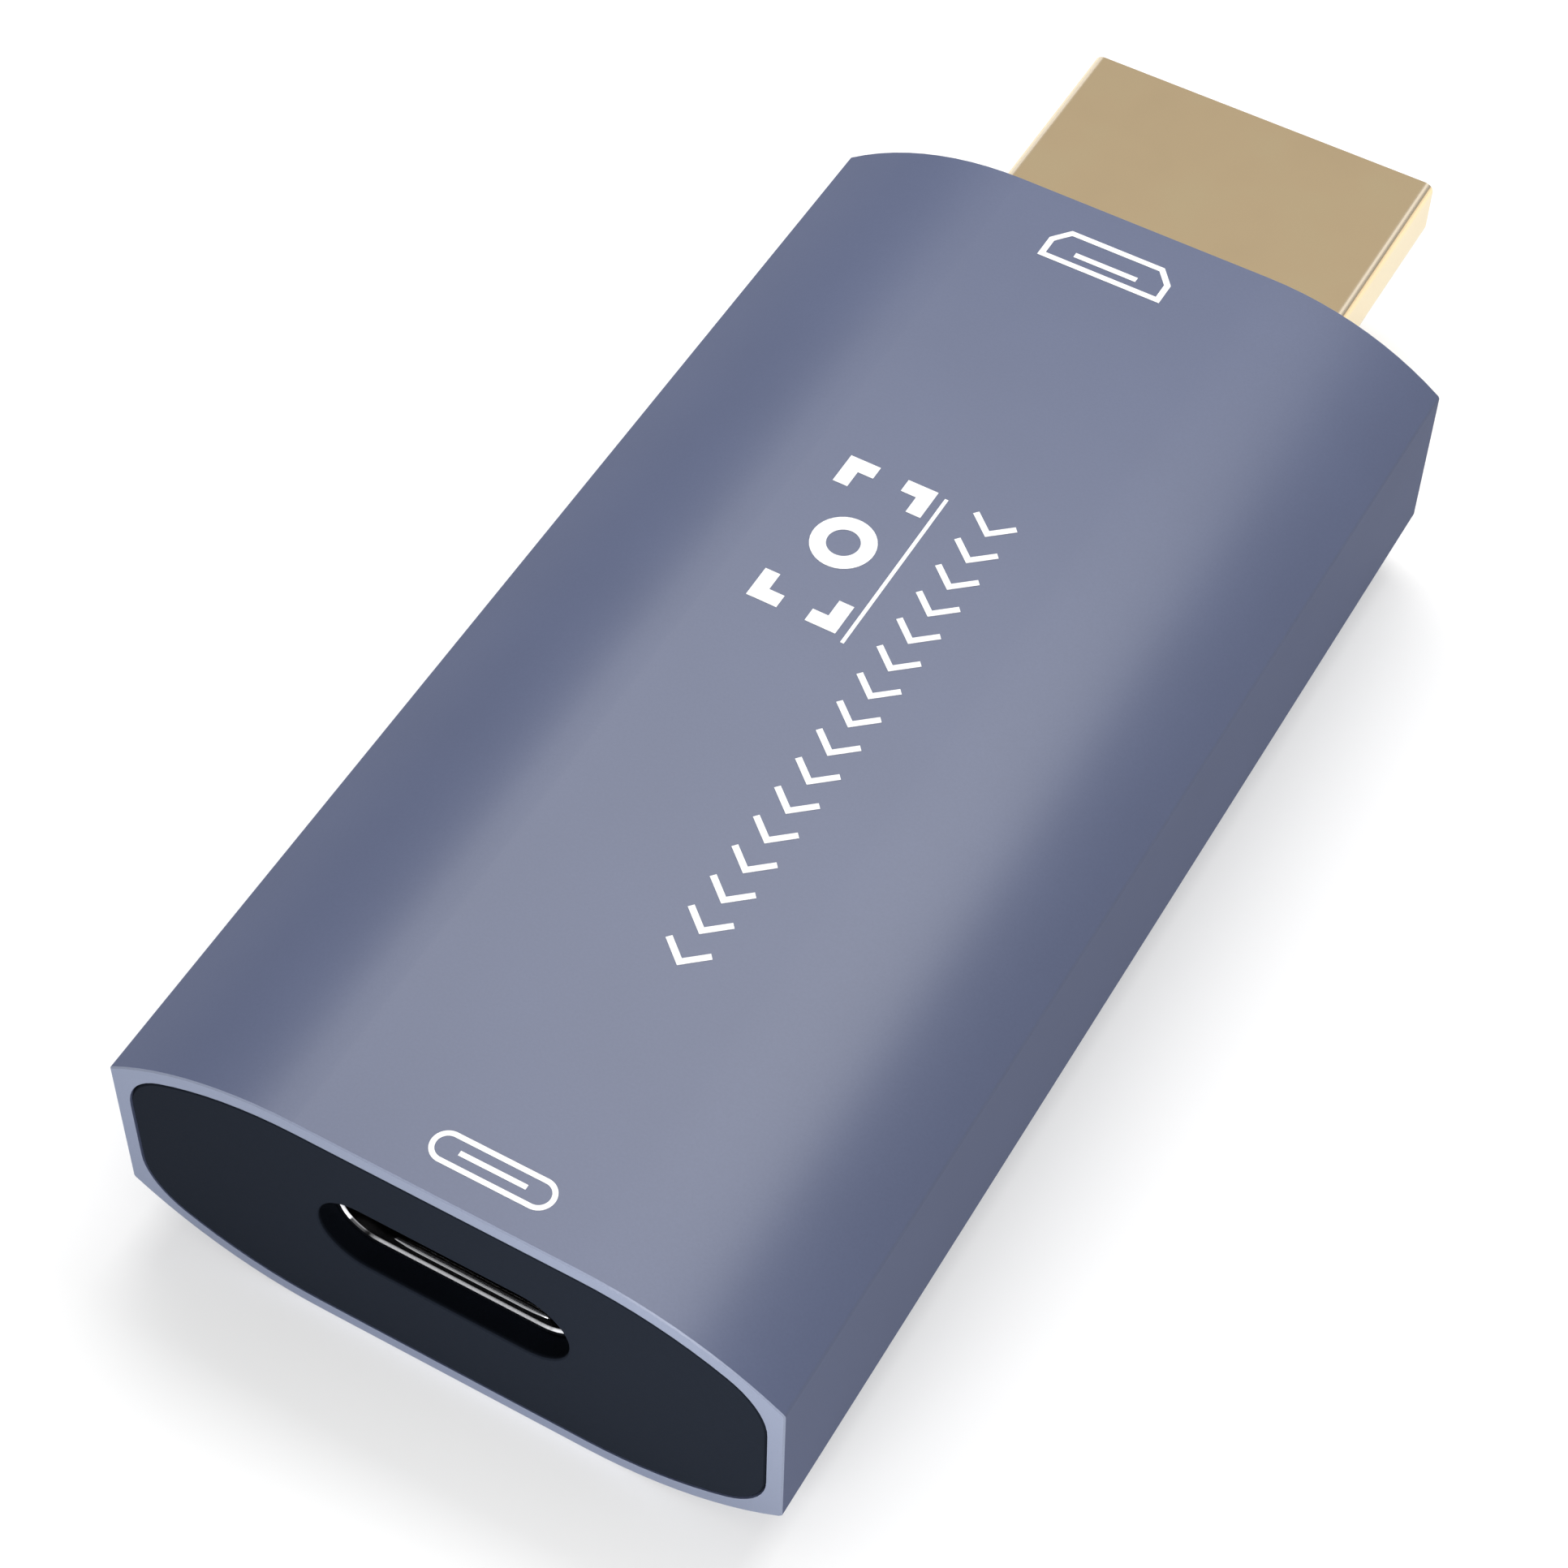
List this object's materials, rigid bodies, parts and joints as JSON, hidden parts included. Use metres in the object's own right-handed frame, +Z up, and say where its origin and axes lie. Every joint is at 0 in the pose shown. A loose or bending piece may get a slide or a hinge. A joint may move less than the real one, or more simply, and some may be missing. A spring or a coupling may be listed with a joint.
{
  "type": "video capture stick",
  "caption": "Slim metal stick that takes video in at a plug on one end and gives data out at a reversible socket on the other.",
  "frame": {"origin": "middle of the stick's length and width, at the level of its lowest crown", "axes": "+Y along the stick towards the video plug, +Z up through the printed crown, +X across the width"},
  "size_m": [0.0234, 0.0564, 0.0108],
  "materials": {
    "anodised_sleeve": "anodised grey blue, satin",
    "cap_plastic": "moulded, fine matt",
    "board_laminate": "solder mask",
    "gold_plated_shell": "gold plated, satin",
    "connector_plastic": "moulded",
    "contact_metal": "gold plated",
    "socket_steel": "nickel plated",
    "chip_plastic": "moulded",
    "tinned_lead": "tinned",
    "capacitor_ceramic": "fired ceramic, kept as plastic here",
    "ferrite": "pressed ferrite, kept as plastic here",
    "copper_winding": "enamelled wire",
    "marking_ink": "white pad print on the upper crown"
  },
  "bodies": {
    "root": {"housing_sleeve": "anodised_sleeve", "output_end_cap": "cap_plastic", "input_end_cap": "cap_plastic", "main_board": "board_laminate", "video_plug_shell": "gold_plated_shell", "video_plug_insulator": "connector_plastic", "video_plug_contacts_upper": "contact_metal", "video_plug_contacts_lower": "contact_metal", "data_socket_shell": "socket_steel", "data_socket_insulator": "connector_plastic", "data_socket_mid_plate": "socket_steel", "data_socket_ground_plates": "socket_steel", "data_socket_contacts_upper": "contact_metal", "data_socket_contacts_lower": "contact_metal", "capture_chip": "chip_plastic", "capture_chip_leads": "tinned_lead", "memory_chip": "chip_plastic", "memory_chip_leads": "tinned_lead", "voltage_regulators": "chip_plastic", "voltage_regulator_leads": "tinned_lead", "crystal_base": "capacitor_ceramic", "crystal_lid": "socket_steel", "power_inductor_core": "ferrite", "power_inductor_winding": "copper_winding", "surge_arrays": "chip_plastic", "surge_array_pads": "tinned_lead", "bulk_capacitor_bodies": "capacitor_ceramic", "bulk_capacitor_ends": "tinned_lead", "ceramic_capacitor_bodies": "capacitor_ceramic", "ceramic_capacitor_ends": "tinned_lead", "resistor_bodies": "chip_plastic", "resistor_ends": "tinned_lead", "ferrite_bead_bodies": "ferrite", "ferrite_bead_ends": "tinned_lead"}
  },
  "joints": []
}
